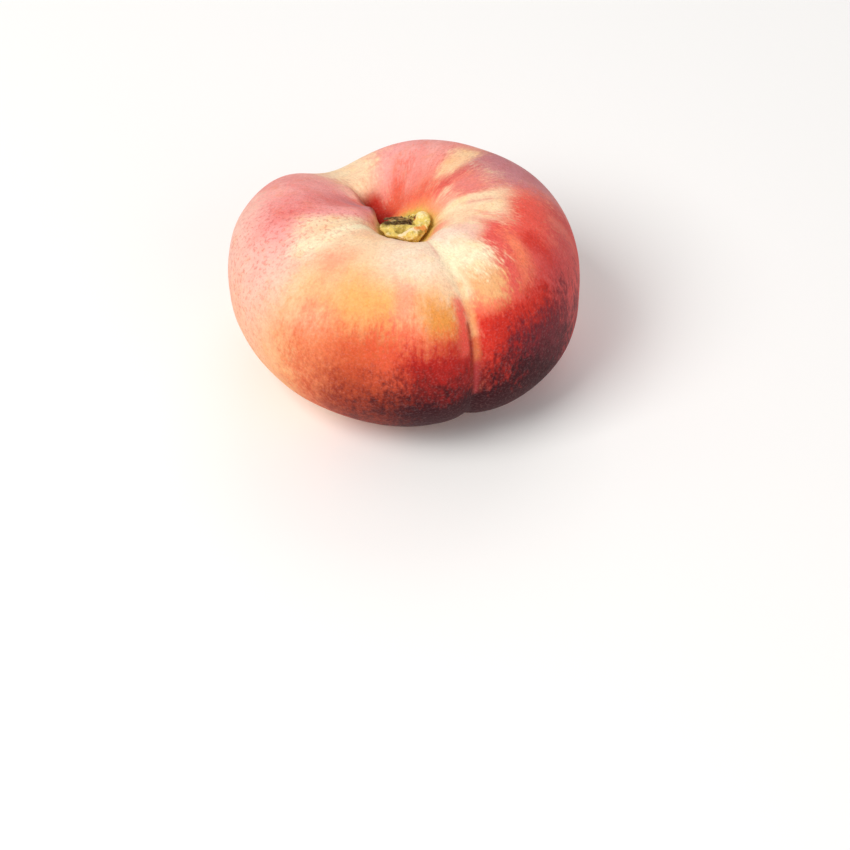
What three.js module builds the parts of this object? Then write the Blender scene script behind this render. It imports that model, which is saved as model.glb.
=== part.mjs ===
// A whole flat peach, as picked, standing on its blossom end.
//
// Millimetres, +Z up along the stem axis. The origin is the middle of the outline, on the
// plane that the fruit rests on. +X is the side with the deep red blush, and the shallow
// groove (the suture) runs down the front right, towards -Y.
//
// The fruit grew as one piece, so it is one solid. The torn stub of stalk left in the
// stem pit is a piece of its own.

import * as THREE from 'three';
import { mergeVertices } from 'three/addons/utils/BufferGeometryUtils.js';

// Driving dimensions of the body
const RADIUS = 35.2;             // equator radius
const EQUATOR_HEIGHT = 18.1;     // from the resting plane up to the equator
const BODY_DEPTH = 20;           // equator down to the underside, before the dimple
const SHOULDER_HEIGHT = 22.8;    // equator up to the shoulder, before the basin
const TOP_FULLNESS = 2.75;       // superellipse power of the upper half, 2 is an ellipse
const BOTTOM_FULLNESS = 2.3;     // the same for the lower half

// The fruit is lopsided: one shoulder is high, and the equator line climbs on one side
const HIGH_SHOULDER = { rise: 5.7, azimuth: -53 };
const SADDLE = { rise: 0.7, azimuth: 0 };
const EQUATOR_TILT = { rise: 4.4, azimuth: 225 };
const SIDE_BULGE = { share: 0.006, azimuth: 20 };

// Hollows
const BASIN = { depth: 5, width: 13 };                       // wide dip round the stem pit
const PIT = { depth: 5, radius: 6.5, softness: 1.1 };        // the stem pit itself
const DIMPLE = { depth: 5, width: 9 };                       // blossom end, on the underside
const FOLD = { depth: 8, width: 10, azimuth: 119, start: 8, softness: 1.5 };
const SUTURE = { azimuth: -64, start: 8, softness: 2 };
const SUTURE_VALLEY = { depth: 1.2, width: 6 };
const SUTURE_CREASE = { depth: 0.7, width: 1.5 };

// Where the left lobe rolls over the fold there is a sharp crease, steep on the lobe's side
const CREASE = { x: -4.4, y: 3.6, azimuth: 114, length: 13, depth: 3.2 };
const CREASE_WIDTH = { lobe: 2.2, back: 6 };
const CREASE_ENDS = { inner: 1, outer: 2.5 };                // softness where it starts and fades
const LOBE_LIP = { rise: 0.9, width: 2.6, setBack: 4.2 };

// Stub of stalk in the pit. Its top is torn: higher at the end where the stalk stood.
const STUB = { length: 9.8, width: 7.6, height: 2.6, azimuth: -6, fullness: 2.4 };
const STUB_GAP = 0.3;
const TORN_TOP = { level: 0.85, slope: 0.15, slopeRate: 2.2, ridges: 0.08, ridgeRate: 5 };

// Mesh fineness: squares along one edge of the cube that each body is blown up from
const FRUIT_SQUARES = 24;
const STUB_SQUARES = 8;
const PIT_FINENESS = 0.4;        // 0 spreads the squares evenly, 1 gathers them at the pit
const MERGE_DISTANCE = 1e-4;     // corners nearer than this are one corner

const radians = THREE.MathUtils.degToRad;
const bell = (distance, width) => Math.exp(-((distance / width) ** 2));
const step = (distance, start, softness) => 1 / (1 + Math.exp((start - distance) / softness));

// How far a place lies sideways from a half-plane through the axis, and how far along it
function fromHalfPlane(rho, azimuth, planeAzimuth) {
  const turn = azimuth - radians(planeAzimuth);
  return { aside: rho * Math.sin(turn), along: rho * Math.cos(turn) };
}

function bodyRadius(azimuth) {
  return RADIUS * (1 + SIDE_BULGE.share * Math.cos(azimuth - radians(SIDE_BULGE.azimuth)));
}

// Depth of the crease, less the lip that stands up beside it on the lobe
function creaseDepth(x, y) {
  const heading = radians(CREASE.azimuth);
  const along = (x - CREASE.x) * Math.cos(heading) + (y - CREASE.y) * Math.sin(heading);
  const aside = (y - CREASE.y) * Math.cos(heading) - (x - CREASE.x) * Math.sin(heading);
  const width = aside > 0 ? CREASE_WIDTH.lobe : CREASE_WIDTH.back;
  const cut = CREASE.depth * bell(aside, width);
  const lip = LOBE_LIP.rise * bell(aside - LOBE_LIP.setBack, LOBE_LIP.width);
  const fade = 1 - step(along, CREASE.length, CREASE_ENDS.outer);
  return (cut - lip) * step(along, 0, CREASE_ENDS.inner) * fade;
}

// Height over the equator plane at rho from the axis. Share runs from 0 on the axis to 1
// at the rim, and rise from 1 on the axis to 0 at the rim, -1 to 0 on the underside.
function bodyHeight(rho, azimuth, share, rise) {
  const tilt = EQUATOR_TILT.rise * Math.cos(azimuth - radians(EQUATOR_TILT.azimuth)) * share;
  if (rise <= 0) {
    return tilt + (BODY_DEPTH + tilt) * rise + DIMPLE.depth * bell(rho, DIMPLE.width);
  }
  const shoulder = SHOULDER_HEIGHT
    + HIGH_SHOULDER.rise * Math.cos(azimuth - radians(HIGH_SHOULDER.azimuth)) * share
    + SADDLE.rise * Math.cos(2 * (azimuth - radians(SADDLE.azimuth))) * share ** 2;
  const basin = BASIN.depth * bell(rho, BASIN.width);
  const pit = PIT.depth * (1 - step(rho, PIT.radius, PIT.softness));
  const { aside, along } = fromHalfPlane(rho, azimuth, FOLD.azimuth);
  const fold = FOLD.depth * bell(aside, FOLD.width) * step(along, FOLD.start, FOLD.softness);
  const crease = creaseDepth(rho * Math.cos(azimuth), rho * Math.sin(azimuth));
  return tilt + (shoulder - tilt) * rise - basin - pit - fold * Math.sqrt(rise) - crease;
}

function sutureDepth(rho, azimuth) {
  const { aside, along } = fromHalfPlane(rho, azimuth, SUTURE.azimuth);
  const valley = SUTURE_VALLEY.depth * bell(aside, SUTURE_VALLEY.width);
  const crease = SUTURE_CREASE.depth * bell(aside, SUTURE_CREASE.width);
  return (valley + crease) * step(along, SUTURE.start, SUTURE.softness);
}

// Where the skin lies in a given direction from the middle of the fruit
function skinPoint(direction) {
  const azimuth = Math.atan2(direction.y, direction.x);
  const polar = Math.acos(THREE.MathUtils.clamp(direction.z, -1, 1));
  const upper = polar < Math.PI / 2;
  const slant = upper ? polar - PIT_FINENESS * Math.sin(2 * polar) / 2 : polar;
  const power = upper ? TOP_FULLNESS : BOTTOM_FULLNESS;
  const across = Math.sin(slant);
  const upward = Math.cos(slant);
  const scale = (across ** power + Math.abs(upward) ** power) ** (-1 / power);
  const share = across * scale;
  const rho = bodyRadius(azimuth) * share;
  const height = bodyHeight(rho, azimuth, share, upward * scale);
  const drawnIn = 1 - sutureDepth(rho, azimuth) / RADIUS;
  return new THREE.Vector3(
    rho * drawnIn * Math.cos(azimuth),
    rho * drawnIn * Math.sin(azimuth),
    Math.max(0, height * drawnIn + EQUATOR_HEIGHT),     // flat where it rests
  );
}

// Height of the pit floor over the resting plane, near the axis
function pitFloor(x, y) {
  const azimuth = Math.atan2(y, x);
  const rho = Math.hypot(x, y);
  const share = rho / bodyRadius(azimuth);
  const rise = (1 - share ** TOP_FULLNESS) ** (1 / TOP_FULLNESS);
  return bodyHeight(rho, azimuth, share, rise) + EQUATOR_HEIGHT;
}

// The stub is a low pad that fits the pit floor, higher at one end where the stalk tore
function stubPoint(direction) {
  const power = STUB.fullness;
  const size = ['x', 'y', 'z'].reduce((sum, axis) => sum + Math.abs(direction[axis]) ** power, 0);
  const point = direction.clone().multiplyScalar(size ** (-1 / power));
  const along = point.x * STUB.length / 2;
  const aside = point.y * STUB.width / 2;
  const turn = radians(STUB.azimuth);
  const x = along * Math.cos(turn) - aside * Math.sin(turn);
  const y = along * Math.sin(turn) + aside * Math.cos(turn);
  const slope = TORN_TOP.slope * Math.sin(TORN_TOP.slopeRate * point.x);
  const ridges = TORN_TOP.ridges * Math.cos(TORN_TOP.ridgeRate * point.y);
  const torn = TORN_TOP.level + slope + ridges;
  const thickness = STUB.height * torn * (1 + point.z) / 2;
  return new THREE.Vector3(x, y, pitFloor(x, y) + STUB_GAP + thickness);
}

// Blows a cube of squares up to a body: each point of the cube goes to place(direction)
function blownCube(squares, place) {
  const geometry = new THREE.BoxGeometry(2, 2, 2, squares, squares, squares);
  const positions = geometry.attributes.position;
  const direction = new THREE.Vector3();
  for (let i = 0; i < positions.count; i += 1) {
    direction.fromBufferAttribute(positions, i);
    for (const axis of ['x', 'y', 'z']) {
      direction[axis] = Math.tan(direction[axis] * Math.PI / 4);
    }
    const point = place(direction.normalize());
    positions.setXYZ(i, point.x, point.y, point.z);
  }
  geometry.deleteAttribute('uv');
  geometry.deleteAttribute('normal');
  const merged = mergeVertices(geometry, MERGE_DISTANCE);
  merged.computeVertexNormals();
  return merged;
}

function fruit() {
  const material = new THREE.MeshStandardMaterial({ color: 0xe8926c, roughness: 0.8, metalness: 0 });
  const mesh = new THREE.Mesh(blownCube(FRUIT_SQUARES, skinPoint), material);
  mesh.name = 'fruit';
  return mesh;
}

function stalkStub() {
  const material = new THREE.MeshStandardMaterial({ color: 0xb9a24a, roughness: 0.75, metalness: 0 });
  const mesh = new THREE.Mesh(blownCube(STUB_SQUARES, stubPoint), material);
  mesh.name = 'stalk_stub';
  return mesh;
}

const flatPeach = new THREE.Group();
flatPeach.name = 'flat_peach';
flatPeach.add(fruit(), stalkStub());

const middle = new THREE.Box3().setFromObject(flatPeach).getCenter(new THREE.Vector3());
flatPeach.position.set(-middle.x, -middle.y, 0);

export default flatPeach;
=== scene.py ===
import math
import bpy
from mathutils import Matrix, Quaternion, Vector


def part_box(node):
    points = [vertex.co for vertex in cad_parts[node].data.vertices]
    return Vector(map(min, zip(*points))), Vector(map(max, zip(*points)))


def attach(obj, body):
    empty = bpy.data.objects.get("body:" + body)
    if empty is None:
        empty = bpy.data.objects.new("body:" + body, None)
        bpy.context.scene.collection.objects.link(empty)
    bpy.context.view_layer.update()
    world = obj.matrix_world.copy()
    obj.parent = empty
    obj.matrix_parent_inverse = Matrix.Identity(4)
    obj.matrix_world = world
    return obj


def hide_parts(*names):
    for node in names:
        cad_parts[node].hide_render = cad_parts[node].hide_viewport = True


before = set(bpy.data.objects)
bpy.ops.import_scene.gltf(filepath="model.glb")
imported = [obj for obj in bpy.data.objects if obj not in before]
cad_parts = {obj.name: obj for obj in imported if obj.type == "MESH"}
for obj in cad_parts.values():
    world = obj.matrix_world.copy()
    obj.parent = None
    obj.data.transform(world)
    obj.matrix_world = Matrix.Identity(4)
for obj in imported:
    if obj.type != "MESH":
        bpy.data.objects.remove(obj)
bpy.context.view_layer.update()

# ---------------------------------------------------------------------------------------
# The fruit. One swollen body of flesh, grown together with its downy skin round the end of
# the stalk: a flat ring with a deep stem pit, a fold where the left lobe rolls over, and a
# shallow suture down the front right.
# ---------------------------------------------------------------------------------------

MM = 0.001
EQUATOR_HEIGHT = 18.1 * MM
# where the fruit is pressed in or swollen: places and widths in millimetres, seen from above
LEAST_WEIGHT = 0.01              # a share of a depth: what would move less is left alone
SUTURE_AZIMUTH = -64             # the groove down the front right, in degrees
SUTURE_START = 9                 # distance from the stem axis
SUTURE_WIDTH = 1.0
SUTURE_BANKS = ((4.5, 0.6), (-4, 1.0))   # how far beside it, plus on the right, and how high
BANK_WIDTH = 2.6
CREASE_START = (-4.7, 3.6)       # where the fold leaves the stem pit
CREASE_AZIMUTH = 114             # and the way it runs, in degrees
CREASE_END = 13                  # how far along it the fold has half died out
CREASE_WIDTH = 0.9
LOBE_LIP_SET_BACK = 1.9          # from the bottom of the crease
LOBE_LIP_WIDTH = 1.3
PIT_FOLD_RADIUS = 7.5
PIT_FOLD_WIDTH = 2.6
LIP_DIP = ((2.2, -6.3), 3.0)     # its place and its width
BLOSSOM_END_WIDTH = 1.6


def start_from_solid(node, name):
    """A copy of a plain solid, with its loose triangles merged into four-sided faces."""
    bpy.ops.object.select_all(action="DESELECT")
    piece = bpy.data.objects.new(name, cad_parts[node].data.copy())
    bpy.context.collection.objects.link(piece)
    piece.select_set(True)
    bpy.context.view_layer.objects.active = piece
    bpy.ops.object.mode_set(mode="EDIT")
    bpy.ops.mesh.select_all(action="SELECT")
    bpy.ops.mesh.remove_doubles(threshold=0.01 * MM)
    bpy.ops.mesh.tris_convert_to_quads()
    bpy.ops.object.mode_set(mode="OBJECT")
    return piece


def apply_modifier(piece, kind, **settings):
    """Adds a modifier with its settings and applies it."""
    modifier = piece.modifiers.new(kind.title(), kind)
    for name, value in settings.items():
        setattr(modifier, name, value)
    bpy.context.view_layer.objects.active = piece
    bpy.ops.object.modifier_apply(modifier=modifier.name)


def cloudy_texture(name, size):
    """Soft random swellings of about the given size."""
    texture = bpy.data.textures.new(name, "CLOUDS")
    texture.noise_scale = size
    texture.noise_depth = 1
    return texture


def press(piece, name, depth, weight_of, texture=None):
    """Pushes the surface in by depth along its normal, as far as weight_of(point) says.

    The point is in millimetres. With a texture, depth is the whole range of its swellings.
    """
    group = piece.vertex_groups.new(name=name)
    for vertex in piece.data.vertices:
        weight = weight_of(vertex.co / MM)
        if weight > LEAST_WEIGHT:
            group.add([vertex.index], min(1.0, weight), "REPLACE")
    apply_modifier(piece, "DISPLACE", strength=-depth, mid_level=0.5 if texture else 0.0,
                   vertex_group=name, texture=texture, texture_coords="LOCAL")


def bell(distance, width):
    """1 at the middle, falling softly to almost nothing at twice the width."""
    return math.exp(-(distance / width) ** 2)


def ramp(value, low, high):
    """0 at low, 1 at high, and kept between them."""
    return min(1.0, max(0.0, (value - low) / (high - low)))


def beside_line(point, start, heading):
    """Millimetres to the left of a line over the ground, and along it from its start."""
    turn = math.radians(heading)
    x, y = point.x - start[0], point.y - start[1]
    return y * math.cos(turn) - x * math.sin(turn), x * math.cos(turn) + y * math.sin(turn)


def round_spot(point, middle, width):
    """1 in the middle of a round spot seen from above, falling off round it."""
    return bell(math.hypot(point.x - middle[0], point.y - middle[1]), width)


def on_top(point):
    """Whether a point is on the upper half of the fruit."""
    return point.z > EQUATOR_HEIGHT / MM


def clear_of_base(point):
    """0 near the ring that the fruit rests on, 1 on its side and above."""
    return ramp(point.z, 3, 16)


def suture_weight(point):
    """The sharp bottom of the suture, from the pit to the blossom end."""
    aside, along = beside_line(point, (0, 0), SUTURE_AZIMUTH)
    return bell(aside, SUTURE_WIDTH) * ramp(along, SUTURE_START, 24) * clear_of_base(point)


def suture_bank_weight(point):
    """The two soft banks beside the suture. Seen from the front, the left one is higher."""
    aside, along = beside_line(point, (0, 0), SUTURE_AZIMUTH)
    banks = sum(height * bell(aside - offset, BANK_WIDTH) for offset, height in SUTURE_BANKS)
    return banks * ramp(along, SUTURE_START, 17) * clear_of_base(point)


def fold_reach(point, along):
    """How much of the fold is there: it opens from the pit and dies out near the rim."""
    fade = 1 - ramp(along, CREASE_END - 3, CREASE_END + 3)
    return ramp(along, -2, 1.5) * fade * on_top(point)


def crease_weight(point):
    """The sharp bottom of the fold."""
    aside, along = beside_line(point, CREASE_START, CREASE_AZIMUTH)
    return bell(aside + 0.3, CREASE_WIDTH) * fold_reach(point, along)


def lobe_lip_weight(point):
    """The edge of the left lobe, which rolls over beside the crease."""
    aside, along = beside_line(point, CREASE_START, CREASE_AZIMUTH)
    return bell(aside - LOBE_LIP_SET_BACK, LOBE_LIP_WIDTH) * fold_reach(point, along)


def pit_fold_weight(point):
    """Small folds of skin that run down the wall of the pit."""
    azimuth = math.atan2(point.y, point.x)
    waves = math.cos(9 * azimuth) + 0.6 * math.cos(14 * azimuth + 1.2)
    beside_wall = math.hypot(point.x, point.y) - PIT_FOLD_RADIUS
    return bell(beside_wall, PIT_FOLD_WIDTH) * max(0.0, waves) * on_top(point)


def lip_dip_weight(point):
    """The dip in the near lip of the pit, in front of the stub."""
    return round_spot(point, *LIP_DIP) * on_top(point)


def blossom_end_weight(point):
    """The pucker in the middle of the underside, where the flower was, with five rays."""
    rays = 1 + 0.5 * math.cos(5 * math.atan2(point.y, point.x))
    return round_spot(point, (0, 0), BLOSSOM_END_WIDTH) * rays * (not on_top(point))


def swelling_weight(point):
    """The whole skin, apart from the ring that it rests on."""
    return ramp(point.z, 0.3, 4)


peach = start_from_solid("fruit", "flat_peach")
apply_modifier(peach, "SUBSURF", levels=2, render_levels=2)
press(peach, "suture_bottom", depth=0.35 * MM, weight_of=suture_weight)
press(peach, "suture_banks", depth=-0.3 * MM, weight_of=suture_bank_weight)
press(peach, "lobe_lip", depth=-1.5 * MM, weight_of=lobe_lip_weight)
press(peach, "crease", depth=1.6 * MM, weight_of=crease_weight)
press(peach, "pit_folds", depth=0.28 * MM, weight_of=pit_fold_weight)
press(peach, "lip_dip", depth=2.2 * MM, weight_of=lip_dip_weight)
press(peach, "blossom_end", depth=0.6 * MM, weight_of=blossom_end_weight)
press(peach, "swellings", depth=0.45 * MM, weight_of=swelling_weight,
      texture=cloudy_texture("swellings", 14 * MM))
peach.select_set(True)
bpy.ops.object.shade_smooth()
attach(peach, "root")
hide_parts("fruit")


# its skin: cream to golden ground, blushed from rose to maroon in brush-like streaks that
# run out from the stem pit, with painted shade in the fold, the suture and low down, under a
# short pale down that greys the darkest parts, partly as painted sheen

def rgb(red, green, blue):
    """A colour as a painter reads it, 0 to 255, in the renderer's linear values."""
    parts = []
    for part in (red, green, blue):
        share = part / 255
        parts.append(share / 12.92 if share <= 0.04045 else ((share + 0.055) / 1.055) ** 2.4)
    return (*parts, 1.0)


def add_node(tree, kind, inputs=None, **settings):
    """A shader node with its settings, and its inputs set to values or linked to sockets."""
    node = tree.nodes.new("ShaderNode" + kind)
    for name, value in settings.items():
        setattr(node, name, value)
    for socket, value in (inputs or {}).items():
        if isinstance(value, bpy.types.NodeSocket):
            tree.links.new(value, node.inputs[socket])
        else:
            node.inputs[socket].default_value = value
    return node


def sum_of(tree, operation, *values):
    """A Math node of the given operation on numbers or sockets."""
    return add_node(tree, "Math", dict(enumerate(values)), operation=operation).outputs[0]


def soft_step(tree, value, low, high):
    """0 up to low, 1 from high on, and a smooth ramp between them. High may be the smaller."""
    stepped = add_node(tree, "MapRange", {"Value": value, "From Min": low, "From Max": high},
                       interpolation_type="SMOOTHSTEP")
    return stepped.outputs["Result"]


def blend(tree, factor, under, over, mode="MIX"):
    """Two colours mixed. The Mix node keeps its colour sockets at places 6 and 7."""
    mixed = add_node(tree, "Mix", data_type="RGBA", blend_type=mode)
    for place, value in ((0, factor), (6, under), (7, over)):
        if isinstance(value, bpy.types.NodeSocket):
            tree.links.new(value, mixed.inputs[place])
        else:
            mixed.inputs[place].default_value = value
    return mixed.outputs[2]


def new_group(name, inputs, outputs):
    """A shader node group with named inputs, each with its default, and named outputs."""
    tree = bpy.data.node_groups.new(name, "ShaderNodeTree")
    for label, (kind, default) in inputs.items():
        socket = tree.interface.new_socket(label, in_out="INPUT", socket_type="NodeSocket" + kind)
        if default is not None:
            socket.default_value = default
    for label, kind in outputs.items():
        tree.interface.new_socket(label, in_out="OUTPUT", socket_type="NodeSocket" + kind)
    return tree, tree.nodes.new("NodeGroupInput").outputs, tree.nodes.new("NodeGroupOutput").inputs


def stem_map_group():
    """Where a point lies as seen from the stem: azimuth and polar angle in degrees."""
    tree, _, result = new_group(
        "stem_map", {},
        {"Azimuth": "Float", "Polar": "Float", "Radius": "Float", "Heading": "Vector"})
    place = add_node(tree, "TexCoord").outputs["Object"]
    centred = add_node(tree, "VectorMath", {0: place, 1: (0, 0, EQUATOR_HEIGHT)},
                       operation="SUBTRACT").outputs[0]
    axes = add_node(tree, "SeparateXYZ", {0: centred}).outputs
    flat = add_node(tree, "CombineXYZ", {"X": axes["X"], "Y": axes["Y"]}).outputs[0]
    radius = add_node(tree, "VectorMath", {0: flat}, operation="LENGTH").outputs["Value"]
    heading = add_node(tree, "VectorMath", {0: flat}, operation="NORMALIZE").outputs[0]
    azimuth = sum_of(tree, "ARCTAN2", axes["Y"], axes["X"])
    polar = sum_of(tree, "ARCTAN2", radius, axes["Z"])
    tree.links.new(sum_of(tree, "DEGREES", azimuth), result["Azimuth"])
    tree.links.new(sum_of(tree, "DEGREES", polar), result["Polar"])
    tree.links.new(sum_of(tree, "DIVIDE", radius, MM), result["Radius"])
    tree.links.new(heading, result["Heading"])
    return tree


def streaks_group():
    """Noise drawn out along the lines from the stem to the blossom end, about -1 to 1."""
    tree, given, result = new_group(
        "streaks",
        {"Heading": ("Vector", None), "Polar": ("Float", 0.0), "Fineness": ("Float", 20.0),
         "Length": ("Float", 20.0), "Detail": ("Float", 3.0), "Seed": ("Float", 0.0)},
        {"Value": "Float"})
    spread = add_node(tree, "VectorMath", {0: given["Heading"], "Scale": given["Fineness"]},
                      operation="SCALE").outputs[0]
    along = sum_of(tree, "ADD", sum_of(tree, "DIVIDE", given["Polar"], given["Length"]),
                   given["Seed"])
    offset = add_node(tree, "CombineXYZ", {"X": given["Seed"], "Z": along}).outputs[0]
    place = add_node(tree, "VectorMath", {0: spread, 1: offset}, operation="ADD").outputs[0]
    noise = add_node(tree, "TexNoise", {"Vector": place, "Scale": 1.0, "Detail": given["Detail"],
                                        "Roughness": 0.55}).outputs[0]
    # the noise stays near its middle, 0.5, so it is spread out four times about that
    tree.links.new(sum_of(tree, "MULTIPLY_ADD", noise, 4.0, -2.0), result["Value"])
    return tree


def brush_group():
    """One brush stroke of colour along a meridian, with soft and ragged edges."""
    tree, given, result = new_group(
        "brush",
        {"Color": ("Color", None), "Azimuth": ("Float", 0.0), "Polar": ("Float", 0.0),
         "Ragged": ("Float", 0.0), "Paint": ("Color", None), "Centre": ("Float", 0.0),
         "Reach": ("Float", 10.0), "Top": ("Float", 20.0), "Bottom": ("Float", 60.0),
         "Edge": ("Float", 6.0), "Fray": ("Float", 3.0), "Lean": ("Float", 0.0),
         "Strength": ("Float", 1.0)},
        {"Color": "Color"})
    below = sum_of(tree, "SUBTRACT", given["Polar"], given["Top"])
    above = sum_of(tree, "SUBTRACT", given["Bottom"], given["Polar"])
    centre = sum_of(tree, "MULTIPLY_ADD", given["Lean"], below, given["Centre"])
    turned = sum_of(tree, "PINGPONG", sum_of(tree, "SUBTRACT", given["Azimuth"], centre), 180.0)
    inside = sum_of(tree, "SUBTRACT", given["Reach"], turned)
    fray = sum_of(tree, "MULTIPLY", given["Ragged"], given["Fray"])
    edge = given["Edge"]
    outer = sum_of(tree, "MULTIPLY", edge, -1.0)
    side = soft_step(tree, sum_of(tree, "ADD", inside, fray), outer, edge)
    length = soft_step(tree, sum_of(tree, "ADD", sum_of(tree, "MINIMUM", below, above), fray),
                       outer, edge)
    mask = sum_of(tree, "MULTIPLY", sum_of(tree, "MULTIPLY", side, length), given["Strength"])
    tree.links.new(blend(tree, mask, given["Color"], given["Paint"]), result["Color"])
    return tree


def grain_group():
    """Fine random specks of a given size in millimetres: 0 between them, 1 in their middles."""
    tree, given, result = new_group(
        "grain",
        {"Size": ("Float", 1.0), "Low": ("Float", 0.5), "High": ("Float", 0.7),
         "Detail": ("Float", 2.0), "Seed": ("Float", 0.0)},
        {"Mask": "Float"})
    place = add_node(tree, "TexCoord").outputs["Object"]
    density = sum_of(tree, "DIVIDE", 1.0 / MM, given["Size"])
    spread = add_node(tree, "VectorMath", {0: place, "Scale": density}, operation="SCALE").outputs[0]
    moved = add_node(tree, "VectorMath", {0: spread, 1: given["Seed"]}, operation="ADD").outputs[0]
    noise = add_node(tree, "TexNoise", {"Vector": moved, "Scale": 1.0, "Detail": given["Detail"],
                                        "Roughness": 0.6}).outputs[0]
    tree.links.new(soft_step(tree, noise, given["Low"], given["High"]), result["Mask"])
    return tree


CREAM = rgb(251, 222, 182)
BUTTER = rgb(253, 237, 199)
BLUSH_WHITE = rgb(252, 226, 206)
PALE_PEACH = rgb(248, 200, 160)
PEACH = rgb(249, 192, 138)
PEACH_GOLD = rgb(242, 178, 122)
APRICOT = rgb(253, 208, 162)
GOLD = rgb(245, 174, 102)
OCHRE = rgb(228, 149, 72)
TAN_ORANGE = rgb(228, 126, 82)
ORANGE = rgb(212, 92, 54)
FLAME = rgb(250, 134, 98)
PIT_RED = rgb(233, 102, 76)
VERMILION = rgb(232, 92, 62)
CORAL = rgb(240, 94, 80)
SALMON = rgb(242, 138, 120)
PALE_PINK = rgb(242, 190, 174)
PINK = rgb(250, 167, 162)
OLD_ROSE = rgb(226, 128, 124)
ROSE = rgb(234, 96, 86)
RED = rgb(182, 34, 28)
SCARLET = rgb(214, 52, 38)
CRIMSON = rgb(208, 78, 78)
SHADOWED_DEEP_RED = rgb(186, 44, 30)
RUST_RED_SHADE = rgb(140, 44, 26)
SHADED_MAROON = rgb(56, 6, 17)
PLUM = rgb(116, 36, 46)
DUSK = rgb(207, 132, 137)
SHADOW_BROWN = rgb(134, 84, 72)
OLIVE = rgb(214, 186, 84)
SCAR_BROWN = rgb(92, 62, 38)
DOWN_SHEEN_GREY = rgb(222, 178, 176)
ROSE_HAZE = rgb(250, 214, 208)
GOLD_HAZE = rgb(254, 236, 190)

skin = bpy.data.materials.new("peach_skin")
skin.use_nodes = True
tree = skin.node_tree
shader = tree.nodes["Principled BSDF"]
stem_map = add_node(tree, "Group", node_tree=stem_map_group()).outputs
streaks = streaks_group()
brush = brush_group()
grain = grain_group()


def streak_lines(fineness, length, detail, seed):
    """Streaks of the given fineness, in this material."""
    return add_node(tree, "Group", {
        "Heading": stem_map["Heading"], "Polar": stem_map["Polar"], "Fineness": fineness,
        "Length": length, "Detail": detail, "Seed": seed}, node_tree=streaks).outputs[0]


# the strokes' places wander a little, and their edges are ragged with coarse and fine streaks
wander = streak_lines(fineness=2.0, length=24.0, detail=2.0, seed=3.0)
drift = streak_lines(fineness=2.0, length=24.0, detail=2.0, seed=17.0)
coarse = streak_lines(fineness=11.0, length=7.0, detail=3.0, seed=40.0)
fine = streak_lines(fineness=48.0, length=2.2, detail=3.0, seed=60.0)
ragged = sum_of(tree, "MULTIPLY_ADD", fine, 0.65, sum_of(tree, "MULTIPLY", coarse, 0.4))
azimuth = sum_of(tree, "MULTIPLY_ADD", wander, 2.0, stem_map["Azimuth"])
polar = sum_of(tree, "MULTIPLY_ADD", drift, 1.5, stem_map["Polar"])


def stroke(under, paint, centre, reach, top, bottom, edge=6, fray=3, lean=0, strength=1.0,
           steady=False):
    """Paints one stroke over a colour: degrees round the stem, degrees down from it.

    A steady stroke keeps its place round the stem, where the others wander a little.
    """
    return add_node(tree, "Group", {
        "Color": under, "Azimuth": stem_map["Azimuth"] if steady else azimuth,
        "Polar": polar, "Ragged": ragged, "Paint": paint,
        "Centre": centre, "Reach": reach, "Top": top, "Bottom": bottom, "Edge": edge,
        "Fray": fray, "Lean": lean, "Strength": strength}, node_tree=brush).outputs[0]


paint = stroke(CREAM, PALE_PEACH, -100, 181, 48, 150, edge=10)
paint = stroke(paint, PEACH_GOLD, -134, 20, 70, 118, edge=12, fray=4, strength=0.9)
# the left lobe, pink on top and paler below
paint = stroke(paint, PALE_PINK, 180, 40, 44, 100, edge=13)
paint = stroke(paint, PEACH_GOLD, -146, 22, 76, 112, edge=14, fray=6, strength=0.5)
paint = stroke(paint, PINK, 169, 34, 20, 62, edge=10)
paint = stroke(paint, OLD_ROSE, 178, 13, 44, 60, edge=8, fray=6, strength=0.55)
paint = stroke(paint, OLD_ROSE, 156, 14, 26, 52, edge=8, fray=5, strength=0.8)
paint = stroke(paint, ROSE, 161, 5, 34, 48, edge=6, fray=6, strength=0.35)
paint = stroke(paint, ROSE, -178, 6, 44, 56, edge=7, fray=6, strength=0.3)
# painted shade: dusky pink on the lobe where it rolls down into the crease
paint = stroke(paint, DUSK, 146, 9, 20, 46, edge=7, fray=4, strength=0.95)
# the ground of the blush, whole and even, so that no pale skin shows between the strokes
paint = stroke(paint, TAN_ORANGE, -90, 27, 61, 130, edge=6, fray=2)
paint = stroke(paint, CORAL, -35, 29, 53, 128, edge=5, fray=2)
paint = stroke(paint, SALMON, 14, 34, 50, 126, edge=16, fray=9)
# front: peach and gold, then orange, red and maroon downwards; the rust and maroon low down are dark
# skin with painted shade in it
paint = stroke(paint, PEACH, -117, 17, 42, 66, edge=8, fray=3)
paint = stroke(paint, GOLD, -103, 14, 48, 66, edge=7, fray=3)
paint = stroke(paint, GOLD, -80, 9, 49, 62, edge=6, strength=0.6)
paint = stroke(paint, SALMON, -129, 7, 41, 51, edge=6, fray=4, strength=0.55)
paint = stroke(paint, PINK, -121, 6, 63, 71, edge=5, fray=5, strength=0.5)
paint = stroke(paint, TAN_ORANGE, -110, 19, 62, 112, edge=10, fray=6)
paint = stroke(paint, ORANGE, -99, 14, 65, 112, edge=7, fray=5)
paint = stroke(paint, SALMON, -89, 4, 46, 62, edge=4, fray=4, strength=0.55)
paint = stroke(paint, FLAME, -85, 7, 60, 69, edge=4, fray=4, strength=0.8)
paint = stroke(paint, OCHRE, -75.5, 6.5, 54, 66, edge=4, fray=3)
paint = stroke(paint, VERMILION, -84, 15, 65, 92, edge=7, fray=6, strength=0.8)
paint = stroke(paint, RED, -75, 15, 68, 112, edge=6, fray=5)
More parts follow.
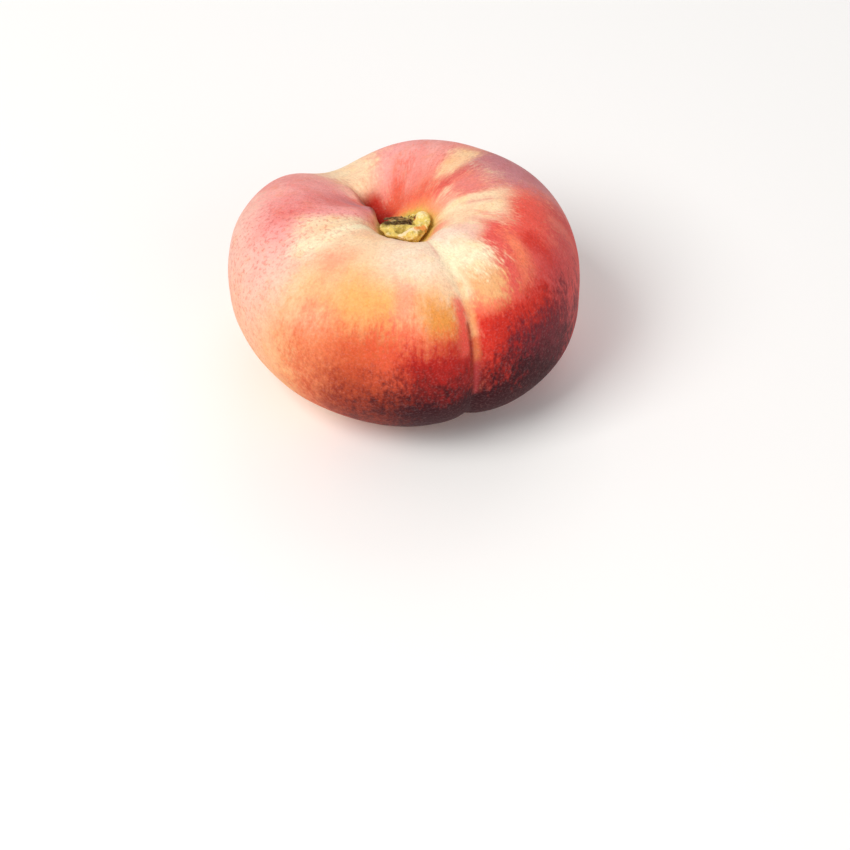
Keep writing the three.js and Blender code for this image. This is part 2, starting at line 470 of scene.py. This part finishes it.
# painted shade low on the front, in a rust red over the orange
paint = stroke(paint, RUST_RED_SHADE, -98, 19, 81, 118, edge=12, fray=7, strength=0.9)
paint = stroke(paint, RUST_RED_SHADE, -113, 4, 88, 118, edge=8, fray=11, strength=0.5)
paint = stroke(paint, ORANGE, -124, 5, 78, 112, edge=8, fray=11, strength=0.45)
# right of the suture: rose, red and plum
paint = stroke(paint, FLAME, -52, 10, 50, 64, edge=4, fray=4, strength=0.9)
paint = stroke(paint, ROSE, -31, 16, 36, 68, edge=4, fray=3)
paint = stroke(paint, CORAL, -8, 15, 41, 58, edge=5, fray=5)
paint = stroke(paint, FLAME, -26, 4.5, 43, 61, edge=4, fray=4, lean=-0.7, strength=0.95)
paint = stroke(paint, SCARLET, -20, 5, 48, 66, edge=4, fray=5, strength=0.85)
paint = stroke(paint, CORAL, 11, 13, 43, 60, edge=6, fray=4, lean=-0.3, strength=0.8)
paint = stroke(paint, CRIMSON, -12, 26, 57, 116, edge=8, fray=8, strength=0.9)
paint = stroke(paint, SALMON, 0, 2.5, 56, 72, edge=3, fray=5, strength=0.6)
paint = stroke(paint, SCARLET, -46, 18, 61, 96, edge=4, fray=5)
paint = stroke(paint, RED, -42, 15, 69, 98, edge=6, fray=7)
paint = stroke(paint, SALMON, 34, 24, 25, 42, edge=6, fray=5)
paint = stroke(paint, OLD_ROSE, 28, 12, 28, 36, edge=5, fray=5, strength=0.6)
paint = stroke(paint, ROSE, 12, 9, 76, 122, edge=12, fray=10, strength=0.6)
paint = stroke(paint, OLD_ROSE, 44, 12, 62, 122, edge=12, fray=11, strength=0.7)
paint = stroke(paint, SCARLET, 3, 3, 64, 118, edge=6, fray=10, strength=0.6)
paint = stroke(paint, PALE_PINK, 20, 3.5, 58, 116, edge=6, fray=10, strength=0.45)
paint = stroke(paint, CRIMSON, 29, 3, 66, 120, edge=6, fray=10, strength=0.5)
paint = stroke(paint, PEACH, 38, 4, 78, 124, edge=8, fray=12, strength=0.6)
paint = stroke(paint, ROSE, 52, 3, 66, 110, edge=6, fray=10, strength=0.5)
paint = stroke(paint, DUSK, 36, 20, 41, 74, edge=9, fray=6)
paint = stroke(paint, PLUM, -35, 16, 70, 116, edge=9, fray=9)
paint = stroke(paint, PLUM, -13, 4, 76, 118, edge=6, fray=12, strength=0.7)
paint = stroke(paint, PLUM, -3, 2, 84, 114, edge=5, fray=10, strength=0.5)
# maroon round the bottom: dark skin, darkened further with painted shade
paint = stroke(paint, SHADED_MAROON, -40, 15, 86, 120, edge=11, fray=8)
paint = stroke(paint, SHADED_MAROON, -17, 3, 90, 120, edge=7, fray=12, strength=0.6)
paint = stroke(paint, SHADED_MAROON, -67, 28, 82, 126, edge=12, fray=9)
paint = stroke(paint, SHADED_MAROON, -103, 4, 94, 124, edge=8, fray=13, strength=0.6)
# the back and the far side of the fold
paint = stroke(paint, SALMON, 82, 24, 24, 84, edge=10, fray=7)
paint = stroke(paint, PINK, 88, 22, 47, 92, edge=12, fray=8)
paint = stroke(paint, OLD_ROSE, 76, 9, 64, 118, edge=10, fray=11, strength=0.65)
paint = stroke(paint, SALMON, 100, 7, 74, 112, edge=9, fray=11, strength=0.55)
paint = stroke(paint, PINK, 142, 16, 52, 96, edge=12, fray=9, strength=0.8)
paint = stroke(paint, OLD_ROSE, 150, 7, 60, 92, edge=8, fray=11, strength=0.5)
paint = stroke(paint, GOLD, 116, 14, 84, 122, edge=14, fray=8, strength=0.35)
paint = stroke(paint, PALE_PINK, 88, 16, 38, 62, edge=10, fray=6, strength=0.4)
paint = stroke(paint, FLAME, 96, 26, 8, 38, edge=9, fray=7, strength=0.7)
paint = stroke(paint, PIT_RED, 84, 40, 6, 32, edge=8, fray=6, strength=0.9)
paint = stroke(paint, VERMILION, 122, 20, 6, 46, edge=7, fray=5)
paint = stroke(paint, VERMILION, 104, 13, 30, 56, edge=8, fray=5, strength=0.9)
paint = stroke(paint, ROSE, 84, 4, 34, 60, edge=5, fray=8, strength=0.35)
paint = stroke(paint, SALMON, 10, 46, 10, 24, edge=4, fray=3, strength=0.75)
paint = stroke(paint, CRIMSON, 49, 5, 26, 44, edge=4, fray=5, strength=0.55)
paint = stroke(paint, CREAM, 117, 12, 65, 96, edge=8, fray=7, strength=0.95)
# pale strokes over the blush
paint = stroke(paint, CREAM, -156, 14, 24, 49, edge=6, fray=4, strength=0.9)
paint = stroke(paint, BUTTER, -148, 5, 24, 52, edge=5, fray=2, strength=0.95)
paint = stroke(paint, APRICOT, -157, 2.5, 34, 42, edge=3, fray=3, strength=0.7)
paint = stroke(paint, PALE_PEACH, -126, 14, 24, 40, edge=8, strength=0.5)
paint = stroke(paint, BLUSH_WHITE, -84, 22, 24, 45, edge=8, strength=0.5)
paint = stroke(paint, PEACH_GOLD, -53, 8.5, 42, 57, edge=4, fray=6)
paint = stroke(paint, BUTTER, -54.5, 10, 31, 46.5, edge=5, fray=4.5, lean=0.3)
paint = stroke(paint, PALE_PINK, -36, 8, 27, 37, edge=4, fray=4, strength=0.8)
paint = stroke(paint, CREAM, -3, 17, 18, 41, edge=5, fray=5)
paint = stroke(paint, SALMON, -13, 2.5, 33, 44, edge=3, fray=4, strength=0.8)
paint = stroke(paint, OLD_ROSE, 3, 1.5, 27, 37, edge=2.5, fray=3, strength=0.6)
paint = stroke(paint, OLD_ROSE, -21, 3, 29, 40, edge=3, fray=4, strength=0.4)
paint = stroke(paint, BLUSH_WHITE, -52, 12, 20, 33, edge=5, strength=0.8)
paint = stroke(paint, APRICOT, 58, 7, 34, 54, edge=4, fray=4)
# the suture: a dark hairline on the left, which is painted shade of the groove, a flush beside it,
# and a pale line down the middle
paint = stroke(paint, CORAL, -67.7, 2, 53, 73, edge=2, fray=1.5, strength=0.9, steady=True)
# painted shade: the hairline along the top of the groove
paint = stroke(paint, OLD_ROSE, -68.5, 1, 28, 39, edge=1.5, fray=0.8, strength=0.5, steady=True)
paint = stroke(paint, BUTTER, -64.3, 3.2, 28, 54, edge=3, fray=1, strength=0.9, steady=True)
paint = stroke(paint, APRICOT, -63.9, 1.6, 48, 57, edge=1.3, fray=0.5, steady=True)
paint = stroke(paint, PEACH_GOLD, -63.8, 1.4, 55, 68, edge=1.2, fray=0.5, strength=0.8, steady=True)
paint = stroke(paint, TAN_ORANGE, -63.7, 1.1, 68, 78, edge=1.2, fray=0.6, strength=0.9, steady=True)
paint = stroke(paint, CRIMSON, -63.7, 0.9, 77, 92, edge=1.2, fray=0.8, strength=0.6, steady=True)
# painted shade: the hairline down the lower groove, in a rust red
paint = stroke(paint, RUST_RED_SHADE, -65.7, 0.6, 62, 84, edge=0.8, fray=0.5, strength=0.8, steady=True)
# the underside, pale again, with its small dry scar
paint = stroke(paint, PALE_PEACH, 0, 181, 134, 190, edge=14, fray=9, strength=0.8)
paint = stroke(paint, SCAR_BROWN, 0, 181, 173, 190, edge=3, fray=2)

# the deep red wedge behind the fold, red skin with painted shadow of the lobe, and the painted shade
# in the crease
crease_heading = math.radians(CREASE_AZIMUTH)
crease_along = (math.cos(crease_heading), math.sin(crease_heading), 0)
crease_aside = (-math.sin(crease_heading), math.cos(crease_heading), 0)
place = add_node(tree, "TexCoord").outputs["Object"]
from_crease = add_node(tree, "VectorMath", {
    0: place, 1: (CREASE_START[0] * MM, CREASE_START[1] * MM, 0)}, operation="SUBTRACT").outputs[0]


def along_direction(direction):
    """Millimetres from the start of the crease, measured in the given direction."""
    length = add_node(tree, "VectorMath", {0: from_crease, 1: direction}, operation="DOT_PRODUCT")
    return sum_of(tree, "DIVIDE", length.outputs["Value"], MM)


def beside_crease(near, far, softness, start, end, fade):
    """A mask between two distances from the crease (the lobe's side counts as plus)."""
    aside = sum_of(tree, "MULTIPLY_ADD", ragged, 0.25, along_direction(crease_aside))
    along = along_direction(crease_along)
    inside = sum_of(tree, "MULTIPLY", soft_step(tree, aside, near - softness, near + softness),
                    soft_step(tree, aside, far + softness, far - softness))
    ends = sum_of(tree, "MULTIPLY", soft_step(tree, along, start - fade, start + fade),
                  soft_step(tree, along, end + fade, end - fade))
    above = soft_step(tree, stem_map["Polar"], 80.0, 70.0)
    return sum_of(tree, "MULTIPLY", sum_of(tree, "MULTIPLY", inside, ends), above)


# painted shadow: the deep red wedge where the left lobe shades the far wall
red_wedge_painted_shadow = beside_crease(near=-3.8, far=1.5, softness=1.2, start=-2.0, end=12.5, fade=3.0)
paint = blend(tree, red_wedge_painted_shadow, paint, SHADOWED_DEEP_RED)
# painted shade: the dark brown line down the bottom of the crease
crease_painted_shade = beside_crease(near=0.3, far=2.0, softness=0.6, start=0.5, end=8.0, fade=2.0)
paint = blend(tree, crease_painted_shade, paint, SHADOW_BROWN)

# the pit floor, the ring of yellow-green skin round the stub, with a golden halo round it:
# each runs from the distance where it has faded out to where it is full, in millimetres
HALO_EDGE = (8.4, 5.8)
RING_EDGE = (6.7, 4.9)
stem_distance = sum_of(tree, "MULTIPLY_ADD", ragged, 0.4, stem_map["Radius"])
gold_halo = sum_of(tree, "MULTIPLY", soft_step(tree, stem_distance, *HALO_EDGE), 0.5)
paint = blend(tree, gold_halo, paint, GOLD)
paint = blend(tree, soft_step(tree, stem_distance, *RING_EDGE), paint, OLIVE)


def specks(size, low, high, seed, detail=2.0):
    """Random specks all over, in the material that is being painted."""
    return add_node(tree, "Group", {"Size": size, "Low": low, "High": high, "Detail": detail,
                                    "Seed": seed}, node_tree=grain).outputs[0]


def fainter(mask, strength):
    """A mask times a strength, in the material that is being painted."""
    return sum_of(tree, "MULTIPLY", mask, strength)


# faint clouds of rose and gold a few millimetres across, so that no patch is quite even
rose_clouds = specks(size=4.5, low=0.42, high=0.7, seed=71.0, detail=4.0)
paint = blend(tree, fainter(rose_clouds, 0.4), paint, ROSE_HAZE, mode="MULTIPLY")
gold_clouds = specks(size=3.0, low=0.5, high=0.72, seed=83.0, detail=4.0)
paint = blend(tree, fainter(gold_clouds, 0.3), paint, GOLD_HAZE, mode="MULTIPLY")
# rose specks on the pale skin, most of all on the left lobe
LOBE_AZIMUTH = -165.0
LOBE_EDGE = (34.0, 8.0)          # degrees from there, where the lobe ends and where it is full
from_lobe = sum_of(tree, "PINGPONG", sum_of(tree, "SUBTRACT", azimuth, LOBE_AZIMUTH), 180.0)
lobe_share = soft_step(tree, from_lobe, *LOBE_EDGE)
speck_strength = sum_of(tree, "MULTIPLY_ADD", lobe_share, 0.3, 0.12)
rose_specks = specks(size=0.8, low=0.5, high=0.66, seed=5.0)
paint = blend(tree, fainter(rose_specks, speck_strength), paint, OLD_ROSE, mode="MULTIPLY")
# fine pale flecks of down, which show on the dark parts: the down's own pale hairs with painted
# sheen where they catch the light
down_and_sheen_flecks = specks(size=0.45, low=0.48, high=0.74, seed=23.0, detail=3.0)
paint = blend(tree, fainter(down_and_sheen_flecks, 0.1), paint, DOWN_SHEEN_GREY, mode="SCREEN")
mottle = sum_of(tree, "MULTIPLY_ADD", specks(size=0.5, low=0.2, high=0.8, seed=9.0), 0.18, 0.92)
mottle = sum_of(tree, "MULTIPLY_ADD", fine, 0.07, mottle)
paint = add_node(tree, "HueSaturation", {"Value": mottle, "Color": paint}).outputs[0]
tree.links.new(paint, shader.inputs["Base Color"])

# the down itself is a fine bump and a weak sheen
down = specks(size=0.35, low=0.1, high=0.9, seed=31.0)
dents = specks(size=1.4, low=0.1, high=0.9, seed=47.0)
down_height = sum_of(tree, "ADD", down, sum_of(tree, "MULTIPLY", dents, 1.2))
bump = add_node(tree, "Bump", {"Height": down_height, "Strength": 0.6, "Distance": 0.12 * MM})
tree.links.new(bump.outputs["Normal"], shader.inputs["Normal"])
shader.inputs["Roughness"].default_value = 0.62
shader.inputs["Specular IOR Level"].default_value = 0.11
shader.inputs["Sheen Weight"].default_value = 0.035
shader.inputs["Sheen Roughness"].default_value = 0.35
shader.inputs["Sheen Tint"].default_value = rgb(255, 240, 235)
peach.data.materials.clear()
peach.data.materials.append(skin)


# ---------------------------------------------------------------------------------------
# The torn stub of stalk. Half dry, yellow-green tissue that grew into the pit floor: lumpy,
# cracked where the stalk broke off, with a brown hollow of fibres on its left.
# ---------------------------------------------------------------------------------------

# straight stretches, seen from above: start in millimetres, heading in degrees, length
HOLLOW = ((-4.4, 1.5), 0, 4.6)
CRACKS = (
    ((0.9, 2.6), -100, 2.4),
    ((-0.3, 0.9), -35, 2.2),
    ((0.5, 0.4), 60, 2.4),
)
HOLLOW_WIDTH = 0.9
FIBRE_BED_WIDTH = 1.1
FIBRE_RIDGE_RATE = 9             # radians of the ridges' wave to a millimetre
CRACK_WIDTH = 0.34
# place in millimetres, width and share of the height: the pale lump on the right, the broad
# one in front, and the low one at the front left
LUMPS = (
    ((2.9, 1.7), 1.3, 1.0),
    ((1.5, -3.0), 1.5, 1.0),
    ((-2.9, -1.2), 1.0, 0.6),
)
DIMPLE = ((-1.2, -1.9), 0.7)


def beside_stretch(point, start, heading, length, width):
    """1 on a straight stretch of the given width over the ground, falling off round it."""
    aside, along = beside_line(point, start, heading)
    past_end = max(0.0, -along, along - length)
    return bell(math.hypot(aside, past_end), width)


def hollow_weight(point):
    """The hollow with the dry fibres."""
    return beside_stretch(point, *HOLLOW, HOLLOW_WIDTH)


def fibre_weight(point):
    """Ridges of fibre along the hollow."""
    start, heading, _ = HOLLOW
    aside, _ = beside_line(point, start, heading)
    ridges = max(0.0, math.cos(aside * FIBRE_RIDGE_RATE))
    return ridges * beside_stretch(point, *HOLLOW, FIBRE_BED_WIDTH)


def crack_weight(point):
    """The forked crack where the stalk broke off."""
    return max(beside_stretch(point, *crack, CRACK_WIDTH) for crack in CRACKS)


def lump_weight(point):
    """The lumps that stand up from the torn tissue."""
    return sum(share * round_spot(point, middle, width) for middle, width, share in LUMPS)


def dimple_weight(point):
    """A small dimple in front of the hollow."""
    return round_spot(point, *DIMPLE)


def everywhere(point):
    """The whole surface."""
    return 1.0


stub = start_from_solid("stalk_stub", "torn_stalk")
apply_modifier(stub, "SUBSURF", levels=3, render_levels=3)
press(stub, "lump", depth=-1.1 * MM, weight_of=lump_weight)
press(stub, "rough", depth=0.7 * MM, weight_of=everywhere,
      texture=cloudy_texture("torn_tissue", 1.6 * MM))
press(stub, "hollow", depth=0.6 * MM, weight_of=hollow_weight)
press(stub, "fibre", depth=-0.3 * MM, weight_of=fibre_weight)
press(stub, "crack", depth=0.9 * MM, weight_of=crack_weight)
press(stub, "dimple", depth=0.8 * MM, weight_of=dimple_weight)
press(stub, "pores", depth=0.16 * MM, weight_of=everywhere,
      texture=cloudy_texture("torn_pores", 0.45 * MM))
stub.select_set(True)
bpy.ops.object.shade_smooth()
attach(stub, "root")
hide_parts("stalk_stub")

YELLOW_GREEN = rgb(234, 206, 108)
PALE_YELLOW = rgb(250, 232, 172)
MOSS = rgb(176, 150, 66)
BARK = rgb(92, 62, 32)
CRACK_BROWN = rgb(112, 62, 24)
ORANGE_FLESH = rgb(238, 152, 74)
PALE_RIM = rgb(248, 226, 180)

stalk = bpy.data.materials.new("torn_stalk_tissue")
stalk.use_nodes = True
tree = stalk.node_tree
shader = tree.nodes["Principled BSDF"]
place = add_node(tree, "TexCoord").outputs["Object"]
tissue = specks(size=1.7, low=0.44, high=0.68, seed=3.0)
threads = specks(size=0.5, low=0.4, high=0.6, seed=11.0, detail=3.0)


def dab(under, paint, start, heading, length, width):
    """Paints a straight stretch of the stub, in millimetres and degrees, with ragged edges."""
    turn = math.radians(heading)
    middle = (start[0] + math.cos(turn) * length / 2, start[1] + math.sin(turn) * length / 2)
    moved = add_node(tree, "VectorMath", {0: place, 1: (middle[0] * MM, middle[1] * MM, 0)},
                     operation="SUBTRACT").outputs[0]
    distances = []
    for direction in ((math.cos(turn), math.sin(turn), 0), (-math.sin(turn), math.cos(turn), 0)):
        reach = add_node(tree, "VectorMath", {0: moved, 1: direction}, operation="DOT_PRODUCT")
        millimetres = sum_of(tree, "DIVIDE", reach.outputs["Value"], MM)
        distances.append(sum_of(tree, "ABSOLUTE", millimetres))
    past_end = sum_of(tree, "MAXIMUM", sum_of(tree, "SUBTRACT", distances[0], length / 2), 0.0)
    outline = add_node(tree, "CombineXYZ", {"X": past_end, "Y": distances[1]}).outputs[0]
    distance = add_node(tree, "VectorMath", {0: outline}, operation="LENGTH").outputs["Value"]
    frayed = sum_of(tree, "MULTIPLY_ADD", threads, width * 0.5, distance)
    return blend(tree, soft_step(tree, frayed, width * 1.5, width * 0.75), under, paint)


paint = blend(tree, tissue, YELLOW_GREEN, MOSS)
pale_grains = specks(size=0.8, low=0.5, high=0.64, seed=29.0)
paint = blend(tree, fainter(pale_grains, 0.7), paint, PALE_YELLOW)
paint = dab(paint, PALE_RIM, (-0.9, -3.4), 6, 3.0, 0.6)
paint = dab(paint, MOSS, (-1.6, -1.9), 0, 0.9, 0.6)
paint = dab(paint, PALE_YELLOW, (2.7, 1.8), 80, 0.9, 1.1)
paint = dab(paint, ORANGE_FLESH, (2.2, -2.7), 20, 1.2, 0.7)
paint = dab(paint, ORANGE_FLESH, (1.2, 1.9), -70, 1.0, 0.3)
for crack in CRACKS:
    paint = dab(paint, CRACK_BROWN, *crack, 0.3)
hollow = dab(paint, BARK, *HOLLOW, 1.4)
paint = blend(tree, fainter(threads, 0.15), hollow, paint)
tree.links.new(paint, shader.inputs["Base Color"])
bump = add_node(tree, "Bump", {"Height": threads, "Strength": 0.5, "Distance": 0.12 * MM})
tree.links.new(bump.outputs["Normal"], shader.inputs["Normal"])
shader.inputs["Roughness"].default_value = 0.7
shader.inputs["Specular IOR Level"].default_value = 0.3
stub.data.materials.clear()
stub.data.materials.append(stalk)


# ---------------------------------------------------------------------------------------
# The dry fibres. Threads of bark left standing where the stalk tore off: each is a thin,
# curved, tapering strand. Most lie along the hollow of the stub, and three across its top.
# ---------------------------------------------------------------------------------------

STUB_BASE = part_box("stalk_stub")[0][2]
FIBRE_STEPS = 9
FIBRE_WIDTH = 0.3 * MM
FIBRE_TAPER = 0.88               # the width after a step as a share of the width before it
FIBRE_ARCH = 0.35                # rise of the first steps, and fall of the last, per step's length
# start in millimetres, heading, length, height over the foot of the stub, turn at each step
FIBRES = (
    ((-4.6, 1.9), -8, 4.6, 2.3, 1.5),
    ((-4.5, 1.4), 2, 4.2, 2.5, -1.0),
    ((-4.3, 2.2), -14, 4.4, 2.3, 2.0),
    ((-4.5, 0.9), 6, 3.4, 2.4, -2.5),
    ((-3.2, 2.3), -24, 3.2, 2.5, 2.5),
    ((-2.4, 1.2), 10, 3.0, 2.9, -3.0),
    ((-3.9, 1.7), -2, 4.0, 2.7, 0.5),
    ((-3.6, 1.1), -6, 3.2, 2.8, 1.0),
    ((-3.0, 1.9), 4, 3.0, 2.7, -1.5),
    ((-1.2, 2.6), -60, 2.6, 2.7, 4.0),
    ((0.6, 2.8), -105, 2.6, 2.8, 3.0),
    ((1.4, 0.3), 150, 2.2, 2.8, -4.0),
)


def lay_fibre(start, heading, length, height, turn):
    """One strand: a small ring, drawn out step by step, narrower and turned a little each time."""
    bpy.ops.object.select_all(action="DESELECT")
    place = (start[0] * MM, start[1] * MM, STUB_BASE + height * MM)
    bpy.ops.mesh.primitive_circle_add(vertices=6, radius=FIBRE_WIDTH / 2, fill_type="NGON",
                                      location=place,
                                      rotation=(0, math.radians(90), math.radians(heading)))
    strand = bpy.context.object
    bpy.ops.object.transform_apply(location=True, rotation=True, scale=True)
    bpy.ops.object.mode_set(mode="EDIT")
    way = math.radians(heading)
    tip = Vector(place)
    for step in range(FIBRE_STEPS):
        rise = math.cos(math.pi * (step + 0.5) / FIBRE_STEPS) * FIBRE_ARCH
        stride = Vector((math.cos(way), math.sin(way), rise)) * (length * MM / FIBRE_STEPS)
        bpy.ops.mesh.extrude_region_move(TRANSFORM_OT_translate={"value": stride})
        tip += stride
        bpy.ops.transform.rotate(value=math.radians(-turn), orient_axis="Z", center_override=tip)
        bpy.ops.transform.resize(value=(FIBRE_TAPER,) * 3, center_override=tip)
        way += math.radians(turn)
    bpy.ops.mesh.select_all(action="SELECT")
    bpy.ops.mesh.normals_make_consistent(inside=False)
    bpy.ops.object.mode_set(mode="OBJECT")
    return strand


strands = [lay_fibre(*fibre) for fibre in FIBRES]
for strand in strands:
    strand.select_set(True)
bpy.context.view_layer.objects.active = strands[0]
bpy.ops.object.join()
fibres = bpy.context.object
fibres.name = "dry_fibres"
bpy.context.scene.cursor.location = (0, 0, 0)
bpy.ops.object.origin_set(type="ORIGIN_CURSOR")
apply_modifier(fibres, "SUBSURF", levels=1, render_levels=1)
fibres.select_set(True)
bpy.ops.object.shade_smooth()
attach(fibres, "root")

DRY_TAN = rgb(190, 148, 92)

bark = bpy.data.materials.new("dry_bark")
bark.use_nodes = True
tree = bark.node_tree
shader = tree.nodes["Principled BSDF"]
dry_patches = specks(size=0.9, low=0.42, high=0.6, seed=13.0)
tree.links.new(blend(tree, dry_patches, BARK, DRY_TAN), shader.inputs["Base Color"])
bark_grain = specks(size=0.2, low=0.3, high=0.7, seed=19.0)
bump = add_node(tree, "Bump", {"Height": bark_grain, "Strength": 0.6, "Distance": 0.05 * MM})
tree.links.new(bump.outputs["Normal"], shader.inputs["Normal"])
shader.inputs["Roughness"].default_value = 0.8
fibres.data.materials.append(bark)


# ---------------------------------------------------------------------------------------
# The studio: a plain pale floor, soft light from the upper left, and the camera.
# ---------------------------------------------------------------------------------------

CAMERA_DISTANCE = 750 * MM
CAMERA_ELEVATION = 43.5          # degrees above the horizon
CAMERA_ROLL = 2.6                # degrees
VIEW_WIDTH = 170.14 * MM         # what the picture spans, measured at the middle of the fruit
SENSOR = 36                      # width of the camera's sensor, in millimetres
AIM_RIGHT = 5.3 * MM             # the camera aims this far to the right of the fruit
AIM_DOWN = 28.6 * MM             # and this far below it, so that it stands high in the picture
FLOOR_SIZE = 6
WORLD_STRENGTH = 0.42

elevation = math.radians(CAMERA_ELEVATION)
back = Vector((0, -math.cos(elevation), math.sin(elevation)))
up = Vector((0, math.sin(elevation), math.cos(elevation)))
heart = Vector((0, 0, EQUATOR_HEIGHT))
camera_data = bpy.data.cameras.new("camera")
camera_data.sensor_width = SENSOR
camera_data.lens = SENSOR * CAMERA_DISTANCE / VIEW_WIDTH
camera = bpy.data.objects.new("camera", camera_data)
bpy.context.collection.objects.link(camera)
camera.location = heart + back * CAMERA_DISTANCE
look = heart + Vector((AIM_RIGHT, 0, 0)) - up * AIM_DOWN - camera.location
camera.rotation_mode = "QUATERNION"
roll = Quaternion((0, 0, 1), math.radians(CAMERA_ROLL))
camera.rotation_quaternion = look.to_track_quat("-Z", "Y") @ roll
bpy.context.scene.camera = camera

bpy.ops.object.select_all(action="DESELECT")
bpy.ops.mesh.primitive_plane_add(size=FLOOR_SIZE, location=(0, 0, 0))
floor = bpy.context.object
floor.name = "floor"
floor_material = bpy.data.materials.new("pale_floor")
floor_material.use_nodes = True
floor_shader = floor_material.node_tree.nodes["Principled BSDF"]
floor_shader.inputs["Base Color"].default_value = rgb(250, 249, 248)
floor_shader.inputs["Roughness"].default_value = 0.8
floor.data.materials.append(floor_material)


def soft_light(name, place, size, power, colour):
    """A square area light that points at the fruit."""
    data = bpy.data.lights.new(name, "AREA")
    data.size = size
    data.energy = power
    data.color = colour
    light = bpy.data.objects.new(name, data)
    bpy.context.collection.objects.link(light)
    light.location = place
    light.rotation_mode = "QUATERNION"
    light.rotation_quaternion = (heart - Vector(place)).to_track_quat("-Z", "Y")


soft_light("key_light", place=(-0.46, -0.38, 0.72), size=0.5, power=6.4, colour=(1, 0.98, 0.95))
soft_light("fill_light", place=(0.55, -0.6, 0.45), size=0.8, power=1.5, colour=(1, 0.97, 0.96))
soft_light("rim_light", place=(0.1, 0.7, 0.6), size=0.6, power=1.2, colour=(1, 1, 1))

world = bpy.data.worlds.new("studio")
world.use_nodes = True
background = world.node_tree.nodes["Background"]
background.inputs["Color"].default_value = (1, 1, 1, 1)
background.inputs["Strength"].default_value = WORLD_STRENGTH
bpy.context.scene.world = world
bpy.context.scene.view_settings.view_transform = "Standard"
